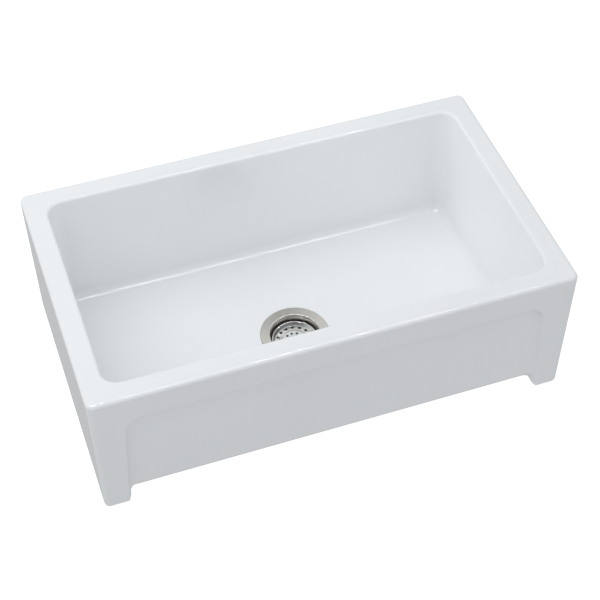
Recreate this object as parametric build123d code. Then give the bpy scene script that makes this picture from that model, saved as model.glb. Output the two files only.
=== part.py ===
"""Farmhouse apron-front kitchen sink in glazed fireclay, with its basket strainer drain.

Frame: the origin is the centre of the plane the sink rests on. +X runs along the width,
-Y faces the room (the apron), +Z is up. Every size is in millimetres.
"""
import os
from math import cos, radians, tan

from build123d import *

INCH = 25.4
STANDING = (Align.CENTER, Align.CENTER, Align.MIN)

# ---------------------------------------------------------------- fireclay basin
basin_width = 30 * INCH          # across the front, at the rim
basin_depth = 452.0              # front to back, at the rim
basin_draft = 0.85               # degrees, the outside narrows towards the feet
basin_corner_r = 12.0            # upright outside corners
rim_edge_r = 6.0                 # outside edge of the rim
foot_edge_r = 8.0                # outside edge at the feet
foot_inner_r = 10.0              # inside edge at the feet
rim_width = 35.0                 # outside of the basin to the bowl's wall
bowl_depth = 220.0               # rim to the outer edge of the bowl floor
bowl_draft = 1.1                 # degrees, the bowl narrows towards its floor
bowl_corner_r = 25.0
bowl_floor_r = 14.0              # wall to floor
bowl_lip_r = 5.0                 # inside edge of the rim
floor_fall = 3.0                 # the floor drops this much towards the drain
floor_thickness = 19.0           # at the drain
base_height = 11.0               # underside of the floor above the cabinet
skirt_width = 30.0               # wall that stands on the cabinet, at the sides and back
base_corner_r = 20.0             # corners of the hollow under the bowl

# ---------------------------------------------------------------- apron front
rail_height = 48.0               # plain band above the sunk panel
stile_width = 51.0               # plain band beside the panel, just under the rail
stile_lean = 3.0                 # degrees, the stiles narrow towards the feet
panel_setback = 11.0             # panel behind the front face, at the rim
panel_side_angle = 25.0          # degrees, lean of the frame's inside edge
panel_corner_r = 30.0
panel_cove_r = 10.0              # hollow where the panel runs into its frame
panel_arris_r = 3.5              # softened edge of the frame
panel_lower_r = 4.0              # softened lower edge of the panel
gap_rise = 23.0                  # underside of the floor to the panel's lower edge
foot_gap_corner_r = 12.0
foot_gap_slope = 1.55            # drop per mm going back, from the panel to the base

# ---------------------------------------------------------------- strainer body
drain_forward = 9.0              # drain centre in front of the bowl's centre
seat_depth = 1.5                 # shallow counterbore that takes the flange
throat_d = 3.25 * INCH           # clear bore of the strainer body
flange_width = 0.625 * INCH      # throat to the flange's edge
flange_thickness = 1.5
flange_fall = 0.6                # the flange's top slopes down to its edge
flange_edge_r = 0.7
putty_thickness = 1.5
putty_inset = 1.0                # putty edge inside the flange's turned-down edge
throat_edge_r = 1.2              # rolled edge between flange and throat
body_wall = 2.0
barrel_length = 38.0             # flange top to the start of the body's sloping bottom
bottom_drop = 5.0                # fall of the sloping bottom
bottom_slope_width = 10.3        # barrel to the flat ring that the stopper closes on
outlet_lip_stand = 2.15          # lip rolled down into the spud, outside the spud's bore
outlet_lip_length = 6.0

# ---------------------------------------------------------------- clamping rings and lock nut
gasket_thickness = 4.0
friction_ring_thickness = 1.5
ring_width = 12.0                # gasket and friction ring, past the barrel
locknut_height = 12.0
locknut_width = 9.0              # ring of the nut, past the barrel
locknut_lugs = 6
locknut_lug_width = 15.0
locknut_lug_reach = 5.0
locknut_edge_r = 1.0

# ---------------------------------------------------------------- outlet spud and tailpiece
tail_d = 1.5 * INCH              # the spud's bore is the same
spud_wall = 4.85                 # bore to the outside thread of the slip joint
spud_flange_width = 10.95        # bore to the flange's edge
spud_flange_thickness = 3.0
spud_length = 27.0
spider_arms = 4
spider_arm_width = 4.0
spider_height = 5.0
spider_drop = 9.0                # spud top to the spider's top
hub_wall = 4.0                   # round the stem
hub_rise = 1.5                   # hub above the arms
tail_wall = 1.0
tail_length = 4 * INCH
tail_flange_width = 3.95         # tube to the flange's edge
tail_flange_thickness = 2.0
tail_washer_thickness = 3.0
coupling_height = 20.0
coupling_wall = 4.6
coupling_ledge = 2.5             # inside shoulder under the tailpiece's flange
coupling_ribs = 12
coupling_rib_r = 2.4

# ---------------------------------------------------------------- basket
basket_sheet = 1.0
basket_sink = 13.0               # rim below the flange
basket_bead_r = 1.3
basket_height = 7.0              # rim to perforated floor
basket_wall_lean = 5.9           # rim to the floor's edge
outer_band = 8.5                 # floor's edge to the middle of the raised ring
inner_band = 11.5                # middle of the raised ring to the hub
ridge_width = 5.0
ridge_rise = 2.6
outer_holes = 16
outer_hole_d = 5.2
inner_holes = 12
inner_hole_d = 4.4
basket_hub_rise = 1.0

# ---------------------------------------------------------------- post and stopper
post_d = 8.0                     # journal that the basket turns on
collar_d = 14.0
collar_height = 3.0
shank_d = 12.0                   # between collar and stopper
stud_d = 5.0                     # screwed into the knob
stud_length = 4.5
knob_d = 18.0
knob_neck_d = 11.0
knob_height = 7.0
knob_edge_r = 1.6
stopper_inset = 3.0              # stopper's edge inside the ring that it closes on
stopper_slope_width = 12.0       # stopper's edge to its crown
stopper_height = 6.0
stopper_lip = 1.6                # thickness of the stopper's edge
backing_width = 9.5              # past the stem
backing_thickness = 1.2
lower_washer_width = 5.5         # past the stem
lower_washer_thickness = 1.2
post_nut_flats = 14.0
post_nut_height = 4.0
stem_d = 9.0
stem_past_hub = 6.0
stem_end_chamfer = 1.0
detent_ball_d = 3.0
detent_wire_d = 0.4
detent_turns = 3

# ---------------------------------------------------------------- clearances
hole_gap = 1.725                 # radial, barrel in the basin's drain hole
seat_gap = 0.6                   # round the flange, in the counterbore
basket_gap = 2.875               # radial, the basket's rim in the barrel
turn_gap = 0.05                  # radial, basket on its post
slide_gap = 0.08                 # radial, stem in the spider's hub
thread_gap = 0.10                # radial, between mated threads, drawn plain
bore_gap = 0.4                   # radial, a loose ring on what it goes round
slip_gap = 1.0                   # radial, coupling nut over the tailpiece
end_gap = 0.15                   # along the axis, at each end of a running fit
soft_gap = 0.3                   # a soft piece above the face it closes on

# ---------------------------------------------------------------- places worked out from the sizes
base_z = base_height
drain_floor_z = base_z + floor_thickness
floor_z = drain_floor_z + floor_fall
basin_height = floor_z + bowl_depth
foot_height = base_z + gap_rise
bowl_width = basin_width - 2 * rim_width
bowl_front_to_back = basin_depth - 2 * rim_width
foot_inset = basin_height * tan(radians(basin_draft))
under_rail_z = basin_height - rail_height
panel_y = panel_setback - basin_depth / 2
gap_run = gap_rise / foot_gap_slope
PANEL_PLANE = Plane(origin=(0, panel_y, 0), x_dir=(1, 0, 0), z_dir=(0, -1, 0))

seat_z = drain_floor_z - seat_depth
flange_under_z = seat_z + putty_thickness
flange_z = flange_under_z + flange_thickness
throat_r = throat_d / 2
flange_r = throat_r + flange_width
barrel_r = throat_r + body_wall
drain_hole_r = barrel_r + hole_gap
bottom_flat_r = throat_r - bottom_slope_width
barrel_end_z = flange_z - barrel_length
bottom_z = barrel_end_z - bottom_drop
body_under_z = bottom_z - body_wall
tail_r = tail_d / 2
tail_bore_r = tail_r - tail_wall
tail_flange_r = tail_r + tail_flange_width
spud_r = tail_r + spud_wall
lip_r = tail_r + outlet_lip_stand

gasket_z = base_z - gasket_thickness
friction_z = gasket_z - friction_ring_thickness
locknut_z = friction_z - locknut_height

spud_end_z = body_under_z - spud_length
spider_z = body_under_z - spider_drop
tail_washer_z = spud_end_z - tail_washer_thickness
tail_flange_z = tail_washer_z - tail_flange_thickness
coupling_z = tail_flange_z - end_gap - coupling_ledge

basket_r = throat_r - basket_gap
basket_floor_r = basket_r - basket_wall_lean
ridge_r = basket_floor_r - outer_band
basket_hub_r = ridge_r - inner_band
basket_rim_z = flange_z - basket_sink
basket_floor_z = basket_rim_z - basket_height
basket_hub_z = basket_floor_z + basket_hub_rise
knob_z = basket_hub_z + end_gap
collar_z = basket_hub_z - basket_sheet - end_gap
stem_r = stem_d / 2
stopper_r = bottom_flat_r - stopper_inset
stopper_z = bottom_z + soft_gap
stopper_top_z = stopper_z + stopper_height
backing_top_z = stopper_top_z + backing_thickness
lower_washer_z = stopper_z - lower_washer_thickness
post_nut_z = lower_washer_z - post_nut_height
stem_end_z = spider_z - spider_height - stem_past_hub
ball_z = spider_z - spider_height / 2


# ---------------------------------------------------------------- helpers
def at_drain(z=0.0):
    """Place on the drain's axis, at height z."""
    return Pos(0, -drain_forward, z)


def turned(*points, rounded=()):
    """Solid of revolution about Z from an outline of (radius, height) points.

    rounded lists (point number, radius) for the corners that are rounded.
    """
    outline = make_face(Polyline(*points, close=True))
    for number, radius in rounded:
        corner = outline.vertices().sort_by_distance(Vector(*points[number]))[0]
        outline = fillet(corner, radius)
    return revolve(Plane.XZ * outline, Axis.Z)


def ring(outer_r, inner_r, height):
    """Plain ring standing on z = 0."""
    return extrude(Circle(outer_r) - Circle(inner_r), height)


# ---------------------------------------------------------------- basin
def tapered_block(width, front_to_back, corner_r, depth, draft):
    """Rounded block hanging from the rim plane, narrowing downwards."""
    rim_down = Plane(origin=(0, 0, basin_height), z_dir=(0, 0, -1))
    return extrude(rim_down * RectangleRounded(width, front_to_back, corner_r), depth, taper=draft)


def basin_outside():
    block = tapered_block(basin_width, basin_depth, basin_corner_r, basin_height, basin_draft)
    block = fillet(block.edges().group_by(Axis.Z)[-1], rim_edge_r)
    return fillet(block.edges().group_by(Axis.Z)[0], foot_edge_r)


def bowl_hollow():
    hollow = tapered_block(bowl_width, bowl_front_to_back, bowl_corner_r, bowl_depth, bowl_draft)
    return fillet(hollow.edges().group_by(Axis.Z)[0], bowl_floor_r)


def floor_dish():
    """Shallow cone that drains the floor, as wide as the flat floor is in front of the drain."""
    reach = bowl_front_to_back / 2 - bowl_depth * tan(radians(bowl_draft)) - bowl_floor_r - drain_forward
    low, high = drain_floor_z, floor_z
    return at_drain() * turned((0, low), (drain_hole_r, low), (reach, high), (0, high))


def panel_side(z):
    """Half the width between the stiles at the panel's depth, at height z."""
    lean_in = panel_setback * tan(radians(panel_side_angle))
    return basin_width / 2 - stile_width - lean_in + (under_rail_z - z) * tan(radians(stile_lean))


def panel_recess():
    """Space in front of the sunk panel, with a hollow edge where the panel meets its frame."""
    top_z = under_rail_z - panel_setback * tan(radians(panel_side_angle))
    low_z = -basin_height / 2
    low, high = panel_side(low_z), panel_side(top_z)
    outline = make_face(Polyline((-low, low_z), (low, low_z), (high, top_z), (-high, top_z), close=True))
    outline = PANEL_PLANE * fillet(outline.vertices().group_by(Axis.Y)[-1], panel_corner_r)
    space = extrude(outline, panel_setback + rim_edge_r, taper=-panel_side_angle)
    return fillet(space.edges().group_by(Axis.Y)[-1], panel_cove_r)


def under_opening():
    """Space under the basin: the gap between the front feet and the hollow inside the skirt.

    Drawn for the right half and mirrored. In front of the panel its side leans out like the
    frame; behind the panel its roof slants back and down to the base.
    """
    low_z = -foot_edge_r
    back = basin_depth / 2 - foot_inset - skirt_width
    side_lean = tan(radians(stile_lean))

    def right_half(top_z):
        return make_face(
            Polyline(
                (-skirt_width, low_z), (panel_side(low_z), low_z), (panel_side(top_z), top_z),
                (-skirt_width, top_z), close=True)
        )

    gap = right_half(foot_height)
    gap_corner = gap.vertices().sort_by_distance((panel_side(foot_height), foot_height))[0]
    gap = PANEL_PLANE * fillet(gap_corner, foot_gap_corner_r)
    front_run = panel_setback + rim_edge_r
    ahead = Vector(tan(radians(panel_side_angle)), -1, 0)
    space = extrude(gap, front_run * ahead.length, dir=ahead)
    drop = Vector(foot_gap_slope * side_lean, 1, -foot_gap_slope)
    space += extrude(gap, gap_run * drop.length, dir=drop)
    space += extrude(PANEL_PLANE * right_half(base_z), back - panel_y, dir=(0, 1, 0))
    space += mirror(space, Plane.YZ)
    at_back = space.edges().filter_by(lambda edge: edge.position_at(0.5).Y > back - 0.1)
    back_corners = at_back.filter_by(lambda edge: abs(edge.position_at(0.5).X) > panel_side(0) - skirt_width)
    space = fillet(back_corners, base_corner_r)
    front = panel_y - front_run
    below = Pos(0, (front + basin_depth) / 2, 0) * Box(
        2 * basin_width, basin_depth - front, foot_edge_r, align=(Align.CENTER, Align.CENTER, Align.MAX))
    space += below
    at_foot = space.edges().filter_by(lambda edge: abs(edge.position_at(0.5).Z) < 0.01)
    inside = at_foot.filter_by(
        lambda edge: abs(edge.position_at(0.5).X) < basin_width / 2 and edge.position_at(0.5).Y < back + 1)
    return fillet(inside, foot_inner_r)


def frame_edges(body):
    """Front edges of the frame round the panel, from foot to foot."""
    front = body.faces().filter_by(lambda face: face.normal_at().Y < -0.9).sort_by(Axis.Y)[0]
    stile_middle = (basin_width - stile_width) / 2
    rail_middle = basin_height - rail_height / 2

    def beside_panel(edge):
        middle = edge.position_at(0.5)
        return abs(middle.X) < stile_middle and foot_edge_r < middle.Z < rail_middle

    return [edge for edge in front.edges() if beside_panel(edge)]


def panel_lower_edges(body):
    """Edges where the panel turns under, between the front feet."""
    on_panel = body.faces().filter_by(lambda face: abs(face.center().Y - panel_y) < 0.01)
    panel = on_panel.sort_by(SortBy.AREA)[-1]
    return [edge for edge in panel.edges() if edge.position_at(0.5).Z < foot_height + 0.1]


def fireclay_basin():
    body = basin_outside() - bowl_hollow() - floor_dish()
    lip = body.faces().sort_by(Axis.Z)[-1].inner_wires()[0].edges()
    body = fillet(lip, bowl_lip_r)
    body -= panel_recess()
    body = fillet(frame_edges(body), panel_arris_r)
    body -= under_opening()
    body = fillet(panel_lower_edges(body), panel_lower_r)
    body -= at_drain(base_z) * Cylinder(drain_hole_r, floor_thickness, align=STANDING)
    return body - at_drain(seat_z) * Cylinder(flange_r + seat_gap, seat_depth + floor_fall, align=STANDING)


# ---------------------------------------------------------------- strainer body and what clamps it
def strainer_body():
    """Flange, plain barrel and sloping bottom, with a lip rolled into the outlet spud."""
    lip_end_z = body_under_z - outlet_lip_length
    edge_z = seat_z + soft_gap
    outline = (
        (throat_r, flange_z),
        (flange_r, flange_z - flange_fall),
        (flange_r, edge_z),
        (flange_r - flange_thickness, edge_z),
        (flange_r - flange_thickness, flange_under_z),
        (barrel_r, flange_under_z),
        (barrel_r, barrel_end_z),
        (bottom_flat_r, body_under_z),
        (lip_r, body_under_z),
        (lip_r, lip_end_z),
        (lip_r - body_wall, lip_end_z),
        (lip_r - body_wall, bottom_z),
        (bottom_flat_r, bottom_z),
        (throat_r, barrel_end_z),
    )
    rounded = ((0, throat_edge_r), (1, flange_edge_r), (11, body_wall / 2))
    return at_drain() * turned(*outline, rounded=rounded)


def putty_seal():
    outer_r = flange_r - flange_thickness - putty_inset
    return at_drain(seat_z) * ring(outer_r, drain_hole_r + putty_inset, putty_thickness)


def clamp_ring(z, thickness):
    """Loose ring round the barrel."""
    return at_drain(z) * ring(barrel_r + ring_width, barrel_r + bore_gap, thickness)


def lock_nut():
    outer_r = barrel_r + locknut_width
    nut = Cylinder(outer_r, locknut_height, align=STANDING)
    lug = Pos((outer_r + locknut_lug_reach) / 2, 0, 0) * Box(
        outer_r + locknut_lug_reach, locknut_lug_width, locknut_height, align=STANDING
    )
    nut += [Rot(0, 0, 360 / locknut_lugs * n) * lug for n in range(locknut_lugs)]
    nut = chamfer(nut.edges().group_by(Axis.Z)[0], locknut_edge_r)
    return at_drain(locknut_z) * (nut - Cylinder(barrel_r + thread_gap, locknut_height, align=STANDING))


def outlet_spud():
    """Threaded outlet with the crosspiece that guides the stopper's stem."""
    flange_edge = tail_r + spud_flange_width
    counterbore_z = body_under_z - outlet_lip_length - end_gap
    shell = turned(
        (lip_r + thread_gap, body_under_z),
        (flange_edge, body_under_z),
        (flange_edge, body_under_z - spud_flange_thickness),
        (spud_r, body_under_z - spud_flange_thickness),
        (spud_r, spud_end_z),
        (tail_r, spud_end_z),
        (tail_r, counterbore_z),
        (lip_r + thread_gap, counterbore_z),
    )
    hub_height = spider_height + hub_rise
    spider = Pos(0, 0, spider_z + hub_rise) * Cylinder(
        stem_r + hub_wall, hub_height, align=(Align.CENTER, Align.CENTER, Align.MAX)
    )
    arm_end = (tail_r + spud_r) / 2
    arm = Pos(arm_end / 2, 0, spider_z - spider_height / 2) * Box(arm_end, spider_arm_width, spider_height)
    spider += [Rot(0, 0, 360 / spider_arms * n) * arm for n in range(spider_arms)]
    stem_hole = Pos(0, 0, spider_z) * Cylinder(stem_r + slide_gap, 2 * hub_height)
    return at_drain() * (shell + spider - stem_hole)


def tailpiece_washer():
    return at_drain(tail_washer_z) * ring(spud_r - bore_gap, tail_bore_r, tail_washer_thickness)


def tailpiece():
    tube = at_drain(tail_washer_z - tail_length) * ring(tail_r, tail_bore_r, tail_length)
    flange = at_drain(tail_flange_z) * ring(tail_flange_r, tail_bore_r, tail_flange_thickness)
    return tube + flange


def coupling_nut():
    inner_r = spud_r + thread_gap
    outer_r = inner_r + coupling_wall
    nut = Cylinder(outer_r, coupling_height, align=STANDING)
    rib = Pos(outer_r, 0, 0) * Cylinder(coupling_rib_r, coupling_height, align=STANDING)
    nut += [Rot(0, 0, 360 / coupling_ribs * n) * rib for n in range(coupling_ribs)]
    nut -= Cylinder(tail_r + slip_gap, coupling_height, align=STANDING)
    nut -= Pos(0, 0, coupling_ledge) * Cylinder(inner_r, coupling_height, align=STANDING)
    return at_drain(coupling_z) * nut


# ---------------------------------------------------------------- basket and stopper
def basket_cup():
    """Pressed sheet: rolled rim, sloping wall, two rows of holes and a raised ring between them."""
    top_side = Polyline(
        (post_d / 2 + turn_gap, basket_hub_z),
        (basket_hub_r - basket_hub_rise, basket_hub_z),
        (basket_hub_r, basket_floor_z),
        (ridge_r - ridge_width / 2, basket_floor_z),
        (ridge_r - ridge_width / 6, basket_floor_z + ridge_rise),
        (ridge_r + ridge_width / 6, basket_floor_z + ridge_rise),
        (ridge_r + ridge_width / 2, basket_floor_z),
        (basket_floor_r, basket_floor_z),
        (basket_r - basket_bead_r, basket_rim_z - basket_bead_r),
    )
    sheet = make_face(top_side.wire().offset_2d(basket_sheet, Kind.INTERSECTION, Side.RIGHT))
    bead = Pos(basket_r - basket_bead_r, basket_rim_z - basket_bead_r) * Circle(basket_bead_r)
    cup = revolve(Plane.XZ * (sheet + bead), Axis.Z)
    outer_row_r = (ridge_r + ridge_width / 2 + basket_floor_r) / 2
    inner_row_r = (basket_hub_r + ridge_r - ridge_width / 2) / 2
    # The outer row starts half a pitch round, the inner row on the width.
    rows = ((outer_row_r, outer_hole_d, outer_holes, 0.5), (inner_row_r, inner_hole_d, inner_holes, 0))
    for row_r, hole_d, count, start in rows:
        hole = Pos(row_r, 0, basket_floor_z) * Cylinder(hole_d / 2, 4 * basket_sheet)
        cup -= [Rot(0, 0, 360 / count * (n + start)) * hole for n in range(count)]
    return at_drain() * cup


def stopper_post():
    """Turned post: stud, journal, collar, shank and the stem with its cross hole."""
    post = turned(
        (0, knob_z + stud_length),
        (stud_d / 2, knob_z + stud_length),
        (stud_d / 2, knob_z),
        (post_d / 2, knob_z),
        (post_d / 2, collar_z),
        (collar_d / 2, collar_z),
        (collar_d / 2, collar_z - collar_height),
        (shank_d / 2, collar_z - collar_height),
        (shank_d / 2, backing_top_z),
        (stem_r, backing_top_z),
        (stem_r, stem_end_z + stem_end_chamfer),
        (stem_r - stem_end_chamfer, stem_end_z),
        (0, stem_end_z),
    )
    cross_hole = Pos(0, 0, ball_z) * Rot(0, 90, 0) * Cylinder(detent_ball_d / 2 + turn_gap, 2 * stem_d)
    return at_drain() * (post - cross_hole)


def knob():
    top_z = knob_z + knob_height
    return at_drain() * turned(
        (stud_d / 2 + thread_gap, knob_z),
        (knob_neck_d / 2, knob_z),
        (knob_d / 2, knob_z + knob_height / 2),
        (knob_d / 2, top_z),
        (0, top_z),
        (0, knob_z + stud_length + end_gap),
        (stud_d / 2 + thread_gap, knob_z + stud_length + end_gap),
        rounded=((2, knob_edge_r), (3, knob_edge_r)),
    )


def stopper_seal():
    """Rubber stopper: a thin edge that closes on the strainer's bottom, rising to a crown."""
    return at_drain() * turned(
        (stem_r + thread_gap, stopper_z),
        (stopper_r, stopper_z),
        (stopper_r, stopper_z + stopper_lip),
        (stopper_r - stopper_slope_width, stopper_top_z),
        (stem_r + thread_gap, stopper_top_z),
    )


def stem_washer(z, width, thickness):
    return at_drain(z) * ring(stem_r + width, stem_r + thread_gap, thickness)


def post_nut():
    hexagon = RegularPolygon(post_nut_flats / 2, 6, major_radius=False)
    return at_drain(post_nut_z) * extrude(hexagon - Circle(stem_r + thread_gap), post_nut_height)


def detent_balls():
    """Two balls held flush in the stem's cross hole."""
    reach = stem_r - detent_ball_d / 2
    ball = Sphere(detent_ball_d / 2)
    return at_drain(ball_z) * Compound([Pos(side * reach, 0, 0) * ball for side in (-1, 1)])


def detent_spring():
    """Coil between the two balls, along X."""
    length = stem_d - 2 * detent_ball_d - detent_wire_d
    coil_r = (detent_ball_d - detent_wire_d) / 2
    coil = Pos(0, 0, -length / 2) * Helix(length / detent_turns, length, coil_r)
    wire_end = Plane(origin=coil @ 0, z_dir=coil % 0)
    wire = sweep(wire_end * Circle(detent_wire_d / 2), path=coil, is_frenet=True)
    return at_drain(ball_z) * Rot(0, 90, 0) * wire


PIECES = {
    "fireclay_basin": fireclay_basin,
    "strainer_body": strainer_body,
    "putty_seal": putty_seal,
    "rubber_gasket": lambda: clamp_ring(gasket_z, gasket_thickness),
    "friction_ring": lambda: clamp_ring(friction_z, friction_ring_thickness),
    "lock_nut": lock_nut,
    "outlet_spud": outlet_spud,
    "tailpiece_washer": tailpiece_washer,
    "tailpiece": tailpiece,
    "coupling_nut": coupling_nut,
    "basket_cup": basket_cup,
    "stopper_post": stopper_post,
    "knob": knob,
    "stopper_seal": stopper_seal,
    "backing_washer": lambda: stem_washer(stopper_top_z, backing_width, backing_thickness),
    "lower_washer": lambda: stem_washer(lower_washer_z, lower_washer_width, lower_washer_thickness),
    "post_nut": post_nut,
    "detent_balls": detent_balls,
    "detent_spring": detent_spring,
}

if __name__ == "__main__":
    os.makedirs("parts", exist_ok=True)
    for name, make in PIECES.items():
        export_step(make(), f"parts/{name}.step")
    print(f"drain at z {flange_z:.2f}, basket lifts {basin_height - stem_end_z:.1f} to clear the rim")
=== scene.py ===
"""Looks of the farmhouse apron-front sink: its glaze, metals, threads, stage and camera."""
import math

import bmesh
import bpy
from mathutils import Matrix, Vector


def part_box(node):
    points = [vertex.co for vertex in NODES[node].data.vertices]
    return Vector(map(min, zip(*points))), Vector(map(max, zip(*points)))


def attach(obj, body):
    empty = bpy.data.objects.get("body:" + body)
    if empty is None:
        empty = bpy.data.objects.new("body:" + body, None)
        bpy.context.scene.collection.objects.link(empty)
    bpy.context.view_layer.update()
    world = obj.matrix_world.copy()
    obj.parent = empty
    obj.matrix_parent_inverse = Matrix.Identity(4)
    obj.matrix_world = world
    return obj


bl_info = {
    "name": "Farmhouse sink looks",
    "version": (1, 0, 0),
    "blender": (4, 5, 0),
    "location": "View3D > Sidebar > Sink",
    "description": "Finishes and details of an apron-front fireclay sink round its CAD frame",
    "category": "Object",
}

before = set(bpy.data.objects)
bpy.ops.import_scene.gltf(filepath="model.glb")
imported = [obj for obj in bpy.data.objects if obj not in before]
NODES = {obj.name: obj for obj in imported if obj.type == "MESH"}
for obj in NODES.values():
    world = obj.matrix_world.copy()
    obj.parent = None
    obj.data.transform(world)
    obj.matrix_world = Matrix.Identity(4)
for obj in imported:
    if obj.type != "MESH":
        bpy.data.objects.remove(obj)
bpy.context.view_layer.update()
DRAIN_Y = sum(corner.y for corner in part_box("strainer_body")) / 2

# Lengths in metres
GLAZE_ENDS = 0.0014                  # height above the kiln shelf where the bare clay ends
GLAZE_FADE = 0.0005                  # how far the glaze thins out above that
GLAZE_WANDER = 0.0008                # and how far that line wanders
DARKER_ENDS = -0.002                   # height below which the strainer's colour is much darker
DARKER_FADE, DARKER_WANDER = 0.0008, 0.001
EDGE_FADE = 0.0008                   # how far the smoother finish and painted highlight reach beyond a rolled edge
EDGE_TOP, EDGE_BOTTOM = 0.001, 0.002  # depths between which that smoother finish and painted highlight end
WALL_FADE, BEAD_FADE = 0.0012, 0.0004
BEAD = 0.0022                        # width of the basket's rolled rim
SPUD_FLANGE = 0.003                  # thickness of the flange at the spud's top
THREAD_SUNK = 0.0003                 # how far the thread's foot is sunk into the spud
FLOOR_GAP = 0.0005                   # the floor lies this much below the feet

# The spud's thread, in parts of its pitch
THREAD_HEIGHT, THREAD_CREST, THREAD_FOOT = 0.25, 0.08, 0.42
THREAD_SIDES, THREAD_FADE = 64, 16   # steps in a turn, and in the run-out

# Angle of the painted highlight lobes on turned metal, from the sink's width
SHEEN_ANGLE = math.radians(6.0)

# Colours of the pieces that stay out of sight
RUBBER = (0.05, 0.05, 0.05)
FIBRE = (0.32, 0.24, 0.18)
PUTTY = (0.72, 0.70, 0.64)
BRASS = (0.72, 0.56, 0.30)
CHROME = (0.80, 0.81, 0.82)
PLASTIC = (0.88, 0.88, 0.86)
POST_SHADE = 0.25                     # the post and its washers are painted this much of the steel's tone, as painted shade

# Radius and height of the floor's rings: round the drain, to the sweep, and up the wall
FLOOR_RINGS = ((0.07, 0.0), (6.0, 0.0), (7.5, 0.4), (8.6, 1.5), (9.0, 3.0), (9.0, 30.0))
FLOOR_SIDES = 64
WHITE = (1.0, 1.0, 1.0)

# Rectangular lamps: name, place, what it faces, size, its power and the share of it, gloss only
SOFT_LAMPS = (
    ("soft_box", (-1.25, 0.2, 2.5), (0.0, 0.0, 0.2), (2.2, 2.6), "box_power", 1.0, False),
    ("strip_back", (0.1, -0.1, 1.9), (0.0, -0.1, 0.0), (2.6, 0.05), "strip_power", 1.0, True),
    ("strip_front", (0.1, -0.75, 1.7), (0.0, -0.1, 0.0), (2.6, 0.06), "strip_power", 0.1, True),
)
# Spots over the bowl: name, place, what it faces, share of the fill power
FILL_LAMPS = (
    ("fill_right", (-0.30, -0.12, 0.48), (0.36, 0.19, 0.20), 1.0),
    ("fill_left", (0.28, -0.10, 0.45), (-0.38, 0.05, 0.19), 0.9),
)
FILL_SPREAD, FILL_RADIUS = math.radians(50.0), 0.12

# The camera, fitted to the basin's outline in a frame 600 pixels wide
CAMERA_PLACE = (-0.50744, -1.50614, 1.87576)
CAMERA_YAW, CAMERA_PITCH, CAMERA_ROLL = -0.33219, 0.83964, 0.00318
FOCAL_PIXELS, FRAME_PIXELS = 1470.04, 600
SENSOR_WIDTH = 36.0


# ---------------------------------------------------------------- shader building
class Value:
    """A shader socket that takes part in ordinary arithmetic."""

    def __init__(self, paint, socket):
        self.paint, self.socket = paint, socket

    def math(self, operation, *others):
        return self.paint.maths(operation, self, *others)

    def __add__(self, other):
        return self.math("ADD", other)

    def __sub__(self, other):
        return self.math("SUBTRACT", other)

    def __mul__(self, other):
        return self.math("MULTIPLY", other)

    def __truediv__(self, other):
        return self.math("DIVIDE", other)

    def __rsub__(self, other):
        return self.paint.maths("SUBTRACT", other, self)

    def __rtruediv__(self, other):
        return self.paint.maths("DIVIDE", other, self)

    __radd__ = __add__
    __rmul__ = __mul__

    def step(self, low, high):
        """0 below low, 1 above high, smooth between; low may be the larger."""
        sockets = {0: self, 1: low, 2: high}
        return self.paint.node("ShaderNodeMapRange", {"interpolation_type": "SMOOTHSTEP"}, sockets)


class Shading:
    """A node tree and the nodes made in it."""

    def __init__(self, tree):
        self.tree = tree

    def node(self, kind, settings=None, sockets=None, output=0):
        made = self.tree.nodes.new(kind)
        for key, value in (settings or {}).items():
            setattr(made, key, value)
        for key, value in (sockets or {}).items():
            self.feed(made.inputs[key], value)
        return Value(self, made.outputs[output])

    def feed(self, socket, value):
        if isinstance(value, Value):
            self.tree.links.new(value.socket, socket)
        else:
            socket.default_value = value

    def maths(self, operation, *values):
        return self.node("ShaderNodeMath", {"operation": operation}, dict(enumerate(values)))

    def axes(self, vector):
        split = self.node("ShaderNodeSeparateXYZ", None, {0: vector}).socket.node
        return [Value(self, socket) for socket in split.outputs]

    def vector(self, x, y, z):
        return self.node("ShaderNodeCombineXYZ", None, {0: x, 1: y, 2: z})

    def noise(self, vector, scale, detail=2.0, roughness=0.5):
        sockets = {"Vector": vector, "Scale": scale, "Detail": detail, "Roughness": roughness}
        return self.node("ShaderNodeTexNoise", None, sockets)

    def mix(self, factor, low, high):
        sockets = {0: factor, 6: low, 7: high}
        settings = {"data_type": "RGBA", "clamp_factor": True}
        return self.node("ShaderNodeMix", settings, sockets, output=2)


class Paint(Shading):
    """One material."""

    def __init__(self, name, **constants):
        self.material = bpy.data.materials.new(name)
        self.material.use_nodes = True
        super().__init__(self.material.node_tree)
        self.shader = self.tree.nodes["Principled BSDF"]
        for socket, value in constants.items():
            self.shader.inputs[socket.replace("_", " ")].default_value = value

    def place(self):
        """Where the shaded point lies in the part's own frame, as a vector."""
        return self.node("ShaderNodeTexCoord", output="Object")

    def bump(self, relief, depth, under=None):
        sockets = {"Height": relief, "Distance": depth}
        if under:
            sockets["Normal"] = under
        return self.node("ShaderNodeBump", None, sockets)

    def out(self, **sockets):
        for name, value in sockets.items():
            self.feed(self.shader.inputs[name.replace("_", " ")], value)
        return self.material


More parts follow.
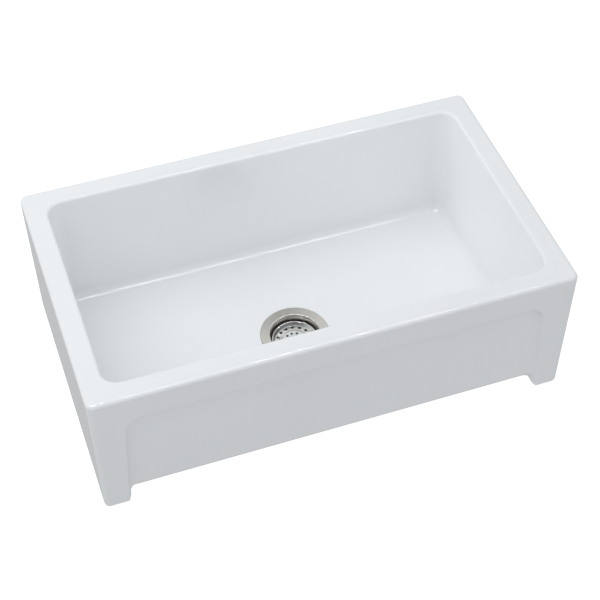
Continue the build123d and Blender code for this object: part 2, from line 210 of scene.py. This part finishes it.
class TurnedPaint(Paint):
    """A metal marked by the lines that turning or spinning leaves round the drain's axis."""

    def __init__(self, name):
        super().__init__(name, Metallic=1.0)
        x, y, self.height = self.axes(self.place())
        y = y - DRAIN_Y
        self.radius = (x * x + y * y).math("SQRT")
        self.across, self.along = x / self.radius, y / self.radius

    def highlight_lobes(self):
        """Where the painted highlight goes: 1 where turned lines would shine towards the light, -1 at
        right angles to that.
        """
        across, along = self.across, self.along
        straight = (across * across - along * along) * math.cos(2 * SHEEN_ANGLE)
        return straight + across * along * (2.0 * math.sin(2 * SHEEN_ANGLE))

    def lines(self, density):
        """Fine uneven lines round the axis, about density of them in a metre."""
        outward = (self.radius + self.height) * density
        return self.streaks(1.5, outward, detail=3.0, roughness=0.7)

    def fans(self, sectors, density):
        """Soft lighter and darker sectors, used as painted reflection streaks."""
        return self.streaks(sectors, self.radius * density)

    def streaks(self, sectors, outward, **settings):
        where = self.vector(self.across * sectors, self.along * sectors, outward)
        return self.noise(where, 1.0, **settings)


def rgba(colour, tone=1.0):
    """A colour darkened or lightened by tone, as a socket takes it."""
    return (*(min(1.0, part * tone) for part in tuple(colour)[:3]), 1.0)


# ---------------------------------------------------------------- objects
def aimed(thing, place, ahead, right):
    """Link a lamp or camera that stands at place and looks ahead, its own X axis to the right."""
    made = bpy.data.objects.new(thing.name, thing)
    back = -ahead.normalized()
    across = (right - back * right.dot(back)).normalized()
    turn = Matrix((across, back.cross(across), back)).transposed().to_4x4()
    made.matrix_world = Matrix.Translation(place) @ turn
    bpy.context.scene.collection.objects.link(made)
    return made


def linked(name, shape, material):
    """Link a new object of this shape and material."""
    mesh = bpy.data.meshes.new(name)
    shape.to_mesh(mesh)
    shape.free()
    mesh.materials.append(material)
    made = bpy.data.objects.new(name, mesh)
    bpy.context.scene.collection.objects.link(made)
    return made


def wear(material, *names):
    """Put a material on CAD nodes."""
    for name in names:
        data = NODES[name].data
        data.materials.clear()
        data.materials.append(material)


# ---------------------------------------------------------------- finishes
def glaze_finish(sizes):
    """White glaze over cream fireclay; the faces that stand on the kiln shelf are bare."""
    paint = Paint("white_glaze", IOR=1.6)
    place = paint.place()
    pooled = paint.noise(place, scale=5.0, detail=3.0)
    grog = paint.noise(place, scale=700.0, detail=3.0)
    line = paint.axes(place)[2] + paint.noise(place, scale=90.0) * GLAZE_WANDER
    bare = line.step(GLAZE_ENDS + GLAZE_FADE, GLAZE_ENDS)
    glaze = paint.mix(pooled.step(0.35, 0.65), rgba(sizes.glaze_thin), rgba(sizes.glaze_colour))
    clay = paint.mix(grog.step(0.35, 0.7), rgba(sizes.clay_dark), rgba(sizes.clay))
    slump = paint.bump(paint.noise(place, scale=9.0, detail=1.0), depth=0.00014)
    peel = paint.bump(paint.noise(place, scale=260.0), depth=0.000012, under=slump)
    return paint.out(
        Base_Color=paint.mix(bare, glaze, clay),
        Roughness=bare * 0.8 + 0.05,
        Normal=paint.bump(grog * bare, depth=0.0001, under=peel),
    )


def metal_finish(name, colour, roughness, rings, painted_sheen=0.0, darker_below=None, edge=None):
    """Metal turned or brushed round the drain's axis.

    rings is the depth of its lines. painted_sheen is how far two painted highlight lobes and soft
    sectors of painted reflection lighten and darken the colour. Below darker_below the colour is
    much darker, and edge is the radius and height of a rolled edge that is smoother and carries a
    painted highlight.
    """
    paint = TurnedPaint(name)
    lines = paint.lines(900.0)
    cloud = paint.noise(paint.place(), scale=60.0, detail=3.0)
    tone = paint.mix(lines, rgba(colour, 0.86), rgba(colour, 1.08))
    gloss = lines * 0.12 + (roughness - 0.06) + cloud * 0.05
    if painted_sheen:
        # painted highlight: two lobes and soft sectors lighten the colour where turned lines would
        # catch the light, and darken it at right angles
        painted_light = paint.highlight_lobes() * 0.42 + paint.fans(7.0, 40.0) * 0.5 + 0.25
        if edge:
            radius, top = edge
            # painted highlight on the rolled edge, which is also made smoother
            polish_and_highlight = paint.radius.step(radius + EDGE_FADE, radius)
            polish_and_highlight = polish_and_highlight * paint.height.step(top - EDGE_BOTTOM, top - EDGE_TOP)
            painted_light = painted_light + polish_and_highlight * 0.7
            gloss = gloss - polish_and_highlight * 0.14
        tone = paint.mix(painted_light, rgba(colour, 1.0 - painted_sheen), tone)
    if darker_below is not None:
        # the colour is much darker below the given height
        darkened = (paint.height + cloud * DARKER_WANDER).step(darker_below + DARKER_FADE, darker_below)
        tone = paint.mix(darkened, tone, rgba(colour, 0.22))
    return paint.out(Base_Color=tone, Roughness=gloss, Normal=paint.bump(lines, rings))


def basket_finish(steel, wall_radius, bead_radius):
    """Polished pressed steel: the floor keeps the steel's colour, the wall is painted darker with
    painted highlight lobes and streaks, and the bead is a little darker.
    """
    paint = TurnedPaint("stainless")
    painted_highlight = paint.highlight_lobes()
    fans = paint.fans(9.0, 30.0)
    lines = paint.lines(1500.0)
    bead = paint.radius.step(bead_radius, bead_radius + BEAD_FADE)
    wall = paint.radius.step(wall_radius, wall_radius + WALL_FADE) * (1.0 - bead)
    # painted shade and highlight: the wall's colour is darkened, and lobes and sectors of painted
    # highlight lighten it again; the bead is a little darker
    painted_light = 1.0 - bead * 0.12 - wall * (0.81 - fans * 0.2 - painted_highlight * (painted_highlight * 0.34 + 0.44))
    return paint.out(
        Base_Color=paint.mix(painted_light, rgba(steel, 0.12), rgba(steel)),
        Roughness=lines * 0.08 + wall * 0.06 + bead * 0.09 + 0.05,
        Normal=paint.bump(lines, depth=0.000006),
    )


def plain_finish(name, colour, roughness, grain, depth, scale, **constants):
    """Moulded, pressed or soft material with a fine grain."""
    paint = Paint(name, **constants)
    place = paint.place()
    mottle = paint.noise(place, scale, detail=4.0)
    fine = paint.noise(place, scale * 9.0)
    return paint.out(
        Base_Color=paint.mix(mottle, rgba(colour, 1.0 - grain), rgba(colour)),
        Roughness=fine * 0.2 + (roughness - 0.1),
        Normal=paint.bump(fine, depth),
    )


# ---------------------------------------------------------------- what a user may change
class SinkFinishes(bpy.types.PropertyGroup):
    glaze_colour: bpy.props.FloatVectorProperty(
        name="Glaze", description="Colour of the glaze where it pools",
        subtype="COLOR", size=3, min=0.0, max=1.0, default=(0.95, 0.96, 0.97))
    glaze_thin: bpy.props.FloatVectorProperty(
        name="Thin glaze", description="Colour of the glaze where it is thin",
        subtype="COLOR", size=3, min=0.0, max=1.0, default=(0.935, 0.946, 0.958))
    clay: bpy.props.FloatVectorProperty(
        name="Clay", description="Colour of the bare fireclay",
        subtype="COLOR", size=3, min=0.0, max=1.0, default=(0.62, 0.53, 0.42))
    clay_dark: bpy.props.FloatVectorProperty(
        name="Grog", description="Colour of the grains in the fireclay",
        subtype="COLOR", size=3, min=0.0, max=1.0, default=(0.42, 0.33, 0.24))
    nickel: bpy.props.FloatVectorProperty(
        name="Nickel", description="Colour of the strainer body",
        subtype="COLOR", size=3, min=0.0, max=1.0, default=(0.80, 0.77, 0.71))
    # the post and its washers take this colour painted much darker, as painted shade
    steel: bpy.props.FloatVectorProperty(
        name="Steel", description="Colour of the basket, the knob and, darker, the post",
        subtype="COLOR", size=3, min=0.0, max=1.0, default=(0.95, 0.945, 0.93))
    throat_edge: bpy.props.FloatProperty(
        name="Throat edge", description="Radius where the flange rolls over into the throat",
        default=0.0425, min=0.0, unit="LENGTH")
    basket_floor_radius: bpy.props.FloatProperty(
        name="Basket floor", description="Radius at which the basket's wall starts",
        default=0.0325, min=0.0, unit="LENGTH")
    thread_radius: bpy.props.FloatProperty(
        name="Thread radius", description="Root radius of the spud's thread",
        default=0.0239, min=0.0, unit="LENGTH")
    thread_pitch: bpy.props.FloatProperty(
        name="Thread pitch", description="Rise of the spud's thread in one turn",
        default=0.0023, min=0.0005, unit="LENGTH")


class SinkStage(bpy.types.PropertyGroup):
    floor_colour: bpy.props.FloatVectorProperty(
        name="Floor", description="Colour of the floor",
        subtype="COLOR", size=3, min=0.0, max=1.0, default=(0.25, 0.25, 0.25))
    floor_glow: bpy.props.FloatProperty(
        name="Floor glow", description="Light that the floor gives of itself",
        default=0.90, min=0.0)
    box_power: bpy.props.FloatProperty(
        name="Soft box", description="Power of the soft box above",
        default=22.8, min=0.0, unit="POWER")
    strip_power: bpy.props.FloatProperty(
        name="Strips", description="Power of the strips that show in gloss",
        default=18.0, min=0.0, unit="POWER")
    fill_power: bpy.props.FloatProperty(
        name="Fill", description="Power of the fills for the bowl's ends",
        default=1.5, min=0.0, unit="POWER")
    surround: bpy.props.FloatProperty(
        name="Surround", description="Brightness of the white surround",
        default=0.615, min=0.0)
    upward: bpy.props.FloatProperty(
        name="Upward", description="How much brighter the surround is overhead",
        default=0.15, min=0.0, max=1.0)
    light_colour: bpy.props.FloatVectorProperty(
        name="Light", description="Colour of the lights",
        subtype="COLOR", size=3, min=0.0, max=1.0, default=(0.966, 0.983, 1.0))


# ---------------------------------------------------------------- pieces
class SINK_OT_basin(bpy.types.Operator):
    """Glaze the basin"""

    bl_idname = "sink.basin"
    bl_label = "Basin"

    def execute(self, context):
        wear(glaze_finish(context.scene.sink_finishes), "fireclay_basin")
        return {"FINISHED"}


class SINK_OT_strainer(bpy.types.Operator):
    """Finish the strainer body and the rings and nut that clamp it"""

    bl_idname = "sink.strainer"
    bl_label = "Strainer and clamp"

    def execute(self, context):
        finishes = context.scene.sink_finishes
        # the nickel's colour carries painted highlight lobes and a painted highlight on the throat's
        # rolled edge, and is much darker below a given height
        nickel = metal_finish(
            "brushed_nickel", finishes.nickel, roughness=0.30, rings=0.00002, painted_sheen=0.36,
            darker_below=DARKER_ENDS, edge=(finishes.throat_edge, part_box("strainer_body")[1].z))
        rubber = plain_finish(
            "black_rubber", RUBBER, roughness=0.6, grain=0.3, depth=0.00003, scale=300.0)
        fibre = plain_finish(
            "fibre", FIBRE, roughness=0.85, grain=0.3, depth=0.00005, scale=400.0)
        putty = plain_finish(
            "putty", PUTTY, roughness=0.7, grain=0.1, depth=0.00003, scale=200.0)
        brass = plain_finish(
            "cast_brass", BRASS, roughness=0.42, grain=0.25, depth=0.00008, scale=500.0,
            Metallic=1.0)
        wear(nickel, "strainer_body")
        wear(rubber, "rubber_gasket", "stopper_seal")
        wear(fibre, "friction_ring")
        wear(putty, "putty_seal")
        wear(brass, "lock_nut")
        return {"FINISHED"}


class SINK_OT_outlet(bpy.types.Operator):
    """Finish the spud, the tailpiece, its washer and its nut, and cut the spud's thread"""

    bl_idname = "sink.outlet"
    bl_label = "Spud and tailpiece"

    def execute(self, context):
        finishes = context.scene.sink_finishes
        brass = metal_finish("turned_brass", BRASS, roughness=0.3, rings=0.00002)
        chrome = metal_finish("polished_chrome", CHROME, roughness=0.10, rings=0.000003)
        plastic = plain_finish(
            "white_plastic", PLASTIC, roughness=0.5, grain=0.05, depth=0.00002, scale=200.0)
        wear(brass, "outlet_spud")
        wear(chrome, "tailpiece", "coupling_nut")
        wear(plastic, "tailpiece_washer")
        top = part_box("outlet_spud")[1].z - SPUD_FLANGE - finishes.thread_pitch
        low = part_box("coupling_nut")[1].z
        ridge = self.ridge(finishes.thread_radius, finishes.thread_pitch, low, top)
        thread = linked("spud_thread", ridge, brass)
        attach(thread, "sink")
        return {"FINISHED"}

    def ridge(self, root, pitch, low, top):
        """One ridge that winds down the spud and fades out at both ends."""
        shape = bmesh.new()
        steps = int((top - low) / pitch * THREAD_SIDES)
        foot = root - THREAD_SUNK
        loops = []
        for n in range(steps + 1):
            angle, z = math.tau * n / THREAD_SIDES, top - pitch * n / THREAD_SIDES
            fade = min(1.0, n / THREAD_FADE, (steps - n) / THREAD_FADE)
            crest = root + THREAD_HEIGHT * pitch * fade
            section = ((foot, THREAD_FOOT), (crest, THREAD_CREST),
                       (crest, -THREAD_CREST), (foot, -THREAD_FOOT))
            loops.append([
                shape.verts.new((r * math.cos(angle), DRAIN_Y + r * math.sin(angle), z + rise * pitch))
                for r, rise in section
            ])
        for loop, following in zip(loops, loops[1:]):
            for k in range(len(loop)):
                shape.faces.new((loop[k - 1], loop[k], following[k], following[k - 1]))
        shape.faces.new(loops[0])
        shape.faces.new(reversed(loops[-1]))
        bmesh.ops.recalc_face_normals(shape, faces=shape.faces)
        return shape


class SINK_OT_basket(bpy.types.Operator):
    """Finish the basket and its post, knob, washers and nut"""

    bl_idname = "sink.basket"
    bl_label = "Basket and stopper"

    def execute(self, context):
        finishes = context.scene.sink_finishes
        steel = finishes.steel
        bead_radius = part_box("basket_cup")[1].x - BEAD
        wear(basket_finish(steel, finishes.basket_floor_radius, bead_radius), "basket_cup")
        wear(metal_finish("stainless_turned", steel, roughness=0.14, rings=0.000006), "knob")
        # painted shade: the post, washers, balls and spring under the basket are the steel painted
        # much darker
        shaded_steel = metal_finish(
            "stainless_shaded", rgba(steel, POST_SHADE), roughness=0.35, rings=0.00001)
        wear(shaded_steel, "stopper_post", "backing_washer", "lower_washer", "post_nut",
             "detent_balls", "detent_spring")
        return {"FINISHED"}


# ---------------------------------------------------------------- stage
class SINK_OT_stage(bpy.types.Operator):
    """Set the floor, the lights and the camera"""

    bl_idname = "sink.stage"
    bl_label = "Stage"

    def execute(self, context):
        scene, wanted = context.scene, context.scene.sink_stage
        self.floor(wanted)
        self.surround(scene, wanted)
        self.lamps(wanted)
        self.camera(scene)
        scene.view_settings.view_transform = "Standard"
        return {"FINISHED"}

    def floor(self, wanted):
        """A wide floor that sweeps up into a wall, open round the drain and clear from below."""
        shape = bmesh.new()
        turns = [math.tau * n / FLOOR_SIDES for n in range(FLOOR_SIDES)]
        rings = []
        for radius, z in FLOOR_RINGS:
            middle = 0.0 if rings else DRAIN_Y
            rings.append([
                shape.verts.new((radius * math.sin(a), middle + radius * math.cos(a), z - FLOOR_GAP))
                for a in turns
            ])
        for inner, outer in zip(rings, rings[1:]):
            for n in range(FLOOR_SIDES):
                shape.faces.new((outer[n - 1], inner[n - 1], inner[n], outer[n]))
        paint = Paint("floor_white", Roughness=0.9, Emission_Strength=wanted.floor_glow)
        paint.out(Base_Color=rgba(wanted.floor_colour), Emission_Color=rgba(WHITE))
        below = paint.node("ShaderNodeNewGeometry", output="Backfacing")
        painted_light = Value(paint, paint.shader.outputs[0])
        clear = paint.node("ShaderNodeBsdfTransparent")
        cover = paint.node("ShaderNodeMixShader", None, {0: below, 1: painted_light, 2: clear})
        paint.feed(paint.tree.nodes["Material Output"].inputs["Surface"], cover)
        floor = linked("floor", shape, paint.material)
        floor.visible_diffuse = floor.visible_glossy = False

    def surround(self, scene, wanted):
        """A white surround, a little brighter overhead."""
        world = bpy.data.worlds.new("surround")
        world.use_nodes = True
        shading = Shading(world.node_tree)
        up = shading.axes(shading.node("ShaderNodeTexCoord", output="Generated"))[2]
        background = world.node_tree.nodes["Background"]
        background.inputs["Color"].default_value = rgba(wanted.light_colour)
        shading.feed(background.inputs["Strength"], (1.0 + up * wanted.upward) * wanted.surround)
        scene.world = world

    def lamps(self, wanted):
        """A soft box above, strips that show only in gloss, and fills for the bowl's ends."""
        for name, place, aim, size, power, share, gloss_only in SOFT_LAMPS:
            light = bpy.data.lights.new(name, "AREA")
            light.shape, light.size, light.size_y = "RECTANGLE", *size
            lamp = self.hang(light, place, aim, getattr(wanted, power) * share, wanted)
            lamp.visible_diffuse, lamp.visible_glossy = not gloss_only, gloss_only
        for name, place, aim, share in FILL_LAMPS:
            light = bpy.data.lights.new(name, "SPOT")
            light.spot_size, light.spot_blend = FILL_SPREAD, 1.0
            light.shadow_soft_size = FILL_RADIUS
            lamp = self.hang(light, place, aim, wanted.fill_power * share, wanted)
            lamp.visible_glossy = False

    def hang(self, light, place, aim, power, wanted):
        """Link a light that the camera doesn't see."""
        light.energy, light.color = power, wanted.light_colour
        place = Vector(place)
        lamp = aimed(light, place, Vector(aim) - place, right=Vector((1.0, 0.0, 0.0)))
        lamp.visible_camera = False
        return lamp

    def camera(self, scene):
        """The camera found by fitting the basin's outline to the photograph."""
        level = Vector((math.cos(CAMERA_YAW), math.sin(CAMERA_YAW), 0.0))
        forward = Vector((-level.y, level.x, 0.0))
        ahead = forward * math.cos(CAMERA_PITCH) - Vector((0.0, 0.0, math.sin(CAMERA_PITCH)))
        down = ahead.cross(level)
        right = math.cos(CAMERA_ROLL) * level + math.sin(CAMERA_ROLL) * down
        lens = bpy.data.cameras.new("camera")
        lens.sensor_width = SENSOR_WIDTH
        lens.lens = FOCAL_PIXELS / FRAME_PIXELS * SENSOR_WIDTH
        lens.clip_start = 0.05
        scene.camera = aimed(lens, Vector(CAMERA_PLACE), ahead, right)


class SINK_PT_panel(bpy.types.Panel):
    """The sink's pieces and settings"""

    bl_label = "Farmhouse sink"
    bl_space_type = "VIEW_3D"
    bl_region_type = "UI"
    bl_category = "Sink"

    def draw(self, context):
        for group in (context.scene.sink_finishes, context.scene.sink_stage):
            for name in group.__annotations__:
                self.layout.prop(group, name)
        for step in STEPS:
            self.layout.operator(step.bl_idname)


STEPS = (SINK_OT_basin, SINK_OT_strainer, SINK_OT_outlet, SINK_OT_basket, SINK_OT_stage)
CLASSES = (SinkFinishes, SinkStage, *STEPS, SINK_PT_panel)


def register():
    for made in CLASSES:
        bpy.utils.register_class(made)
    bpy.types.Scene.sink_finishes = bpy.props.PointerProperty(type=SinkFinishes)
    bpy.types.Scene.sink_stage = bpy.props.PointerProperty(type=SinkStage)


def unregister():
    del bpy.types.Scene.sink_finishes, bpy.types.Scene.sink_stage
    for made in reversed(CLASSES):
        bpy.utils.unregister_class(made)


def main():
    register()
    for step in STEPS:
        group, name = step.bl_idname.split(".")
        getattr(getattr(bpy.ops, group), name)()


if __name__ == "__main__":
    main()
